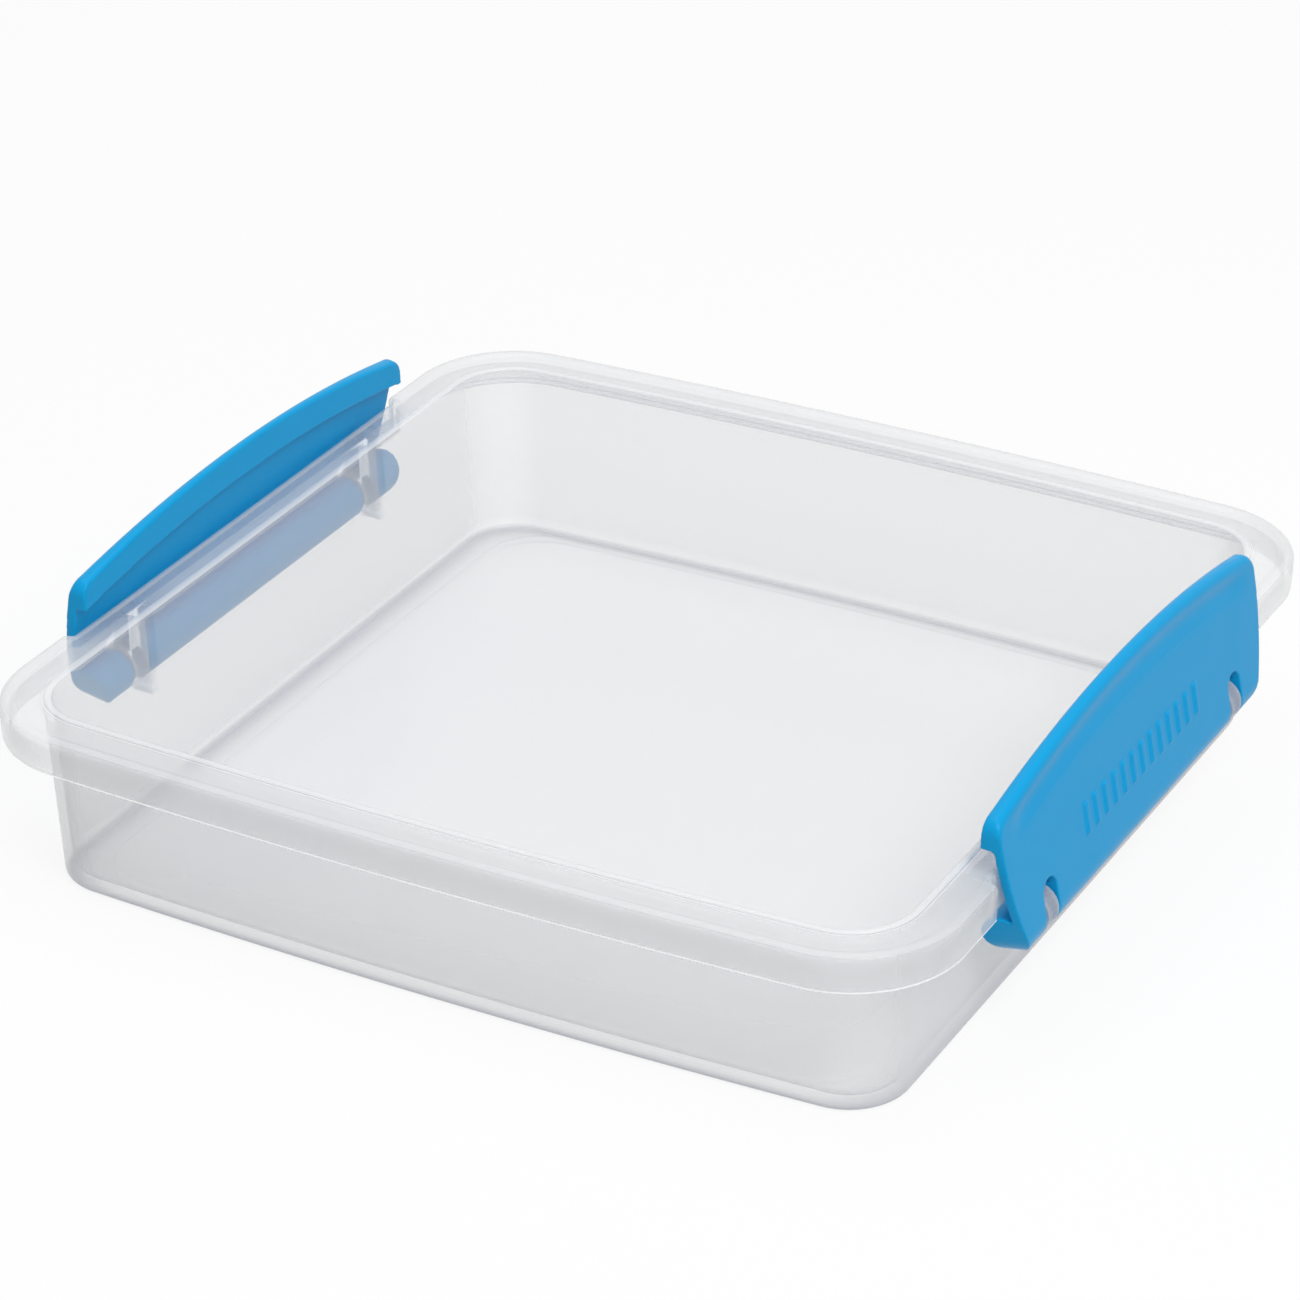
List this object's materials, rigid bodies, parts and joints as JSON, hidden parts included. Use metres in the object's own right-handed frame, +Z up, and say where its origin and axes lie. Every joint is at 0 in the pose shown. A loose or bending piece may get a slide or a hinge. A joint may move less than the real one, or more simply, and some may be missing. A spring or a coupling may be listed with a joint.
{
  "type": "lunch box",
  "caption": "Shallow translucent lunch box tray with a turned-down rim and two hinged blue snap clips, shown without its lid.",
  "frame": {"origin": "centre of the base, on the surface that the tray stands on", "axes": "+X towards the right clip, +Y towards the back, +Z up; the two clips lie at the ends along X"},
  "size_m": [0.1572, 0.15, 0.0421],
  "materials": {
    "clear_plastic": "satin",
    "blue_plastic": "gloss"
  },
  "bodies": {
    "tray": {"tray": "clear_plastic"},
    "left_clip": {"left_clip": "blue_plastic"},
    "right_clip": {"right_clip": "blue_plastic"}
  },
  "joints": [
    {"name": "right_clip_hinge", "type": "hinge", "parent": "tray", "child": "right_clip", "pos_m": [0.07505, 0, 0.0183], "axis": [0, 1, 0], "range_deg": [0, 110]},
    {"name": "left_clip_hinge", "type": "hinge", "parent": "tray", "child": "left_clip", "pos_m": [-0.07505, 0, 0.0183], "axis": [0, -1, 0], "range_deg": [0, 110]}
  ]
}
